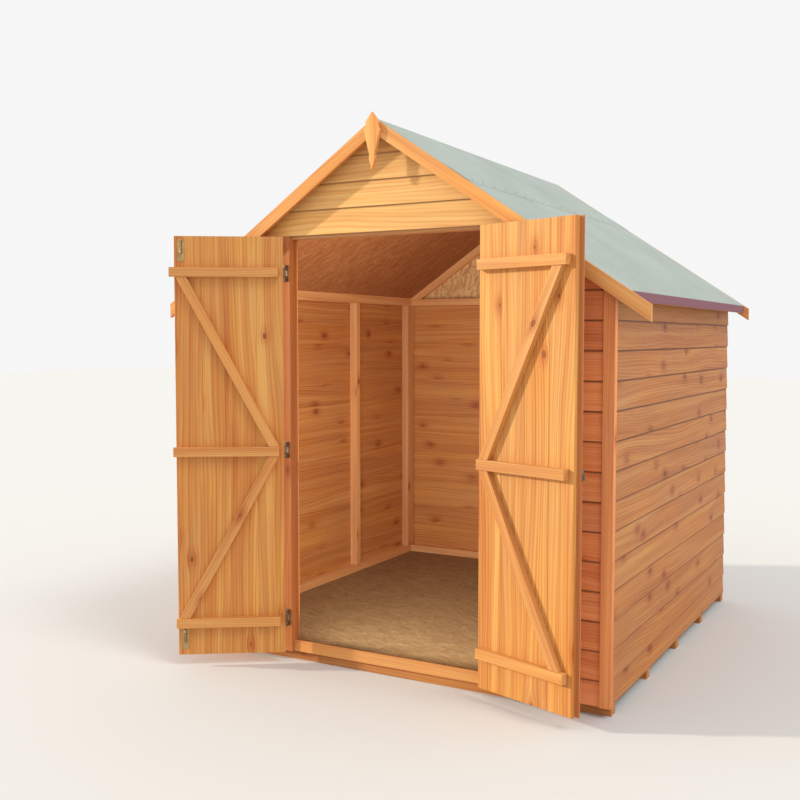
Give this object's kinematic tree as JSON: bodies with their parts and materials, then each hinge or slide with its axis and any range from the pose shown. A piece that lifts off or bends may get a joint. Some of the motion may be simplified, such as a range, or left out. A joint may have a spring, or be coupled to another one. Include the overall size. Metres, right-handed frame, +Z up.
{
  "type": "wooden garden shed with double doors",
  "caption": "Apex garden shed of overlapping softwood boards on a boarded floor, with a felted roof and a pair of braced ledged doors in the gable end.",
  "frame": {"origin": "on the ground under the middle of the floor, on the underside of the middle bearer", "axes": "+X to the right and +Y to the back, seen from the front; +Z up, normal to the ground"},
  "size_m": [2.038, 2.1906, 2.139],
  "materials": {
    "wall_cladding": "dip-treated softwood, matt",
    "door_boards": "dip-treated softwood, matt",
    "framing_timber": "sawn softwood, matt",
    "planed_trim": "planed softwood, matt",
    "strand_board": "pressed strand board, matt",
    "roofing_felt": "mineral roofing felt",
    "zinc_steel": "zinc plated",
    "bolt_brass": "dull brass"
  },
  "bodies": {
    "shed": {"floor_bearers": "framing_timber", "floor_panel": "strand_board", "door_sill": "framing_timber", "front_wall_posts": "framing_timber", "front_wall_bottom_rails": "framing_timber", "door_head_rail": "framing_timber", "side_wall_studs": "framing_timber", "side_wall_rails": "framing_timber", "back_wall_studs": "framing_timber", "back_wall_rails": "framing_timber", "front_gable_rafters": "framing_timber", "back_gable_rafters": "framing_timber", "back_gable_lining": "strand_board", "front_left_cladding": "wall_cladding", "front_right_cladding": "wall_cladding", "front_gable_cladding": "wall_cladding", "left_wall_cladding": "wall_cladding", "right_wall_cladding": "wall_cladding", "back_wall_cladding": "wall_cladding", "back_gable_cladding": "wall_cladding", "left_corner_trim": "planed_trim", "right_corner_trim": "planed_trim", "left_roof_board": "strand_board", "right_roof_board": "strand_board", "eave_battens": "framing_timber", "left_felt": "roofing_felt", "right_felt": "roofing_felt", "ridge_felt": "roofing_felt", "front_left_barge": "planed_trim", "front_right_barge": "planed_trim", "back_left_barge": "planed_trim", "back_right_barge": "planed_trim", "finial": "planed_trim", "left_hinge_plates": "zinc_steel", "right_hinge_plates": "zinc_steel"},
    "left_door": {"left_door_boards": "door_boards", "left_door_ledges": "framing_timber", "left_door_braces": "framing_timber", "left_door_hinge_straps": "zinc_steel", "left_door_bolt_barrels": "bolt_brass"},
    "right_door": {"right_door_boards": "door_boards", "right_door_ledges": "framing_timber", "right_door_braces": "framing_timber", "right_door_hinge_straps": "zinc_steel", "right_door_cover_strip": "planed_trim", "right_door_hasp": "zinc_steel"},
    "top_bolt": {"top_bolt_rod": "bolt_brass"},
    "bottom_bolt": {"bottom_bolt_rod": "bolt_brass"}
  },
  "joints": [
    {"name": "left_door_hinge", "type": "hinge", "parent": "shed", "child": "left_door", "pos_m": [-0.4295, -0.95, 0], "axis": [0, 0, -1], "range_deg": [-146, 16]},
    {"name": "right_door_hinge", "type": "hinge", "parent": "shed", "child": "right_door", "pos_m": [0.4295, -0.95, 0], "axis": [0, 0, 1], "range_deg": [-162, 0]},
    {"name": "top_bolt_slide", "type": "slide", "parent": "left_door", "child": "top_bolt", "axis": [0, 0, 1], "range_m": [0, 0.03]},
    {"name": "bottom_bolt_slide", "type": "slide", "parent": "left_door", "child": "bottom_bolt", "axis": [0, 0, -1], "range_m": [0, 0.03]}
  ]
}
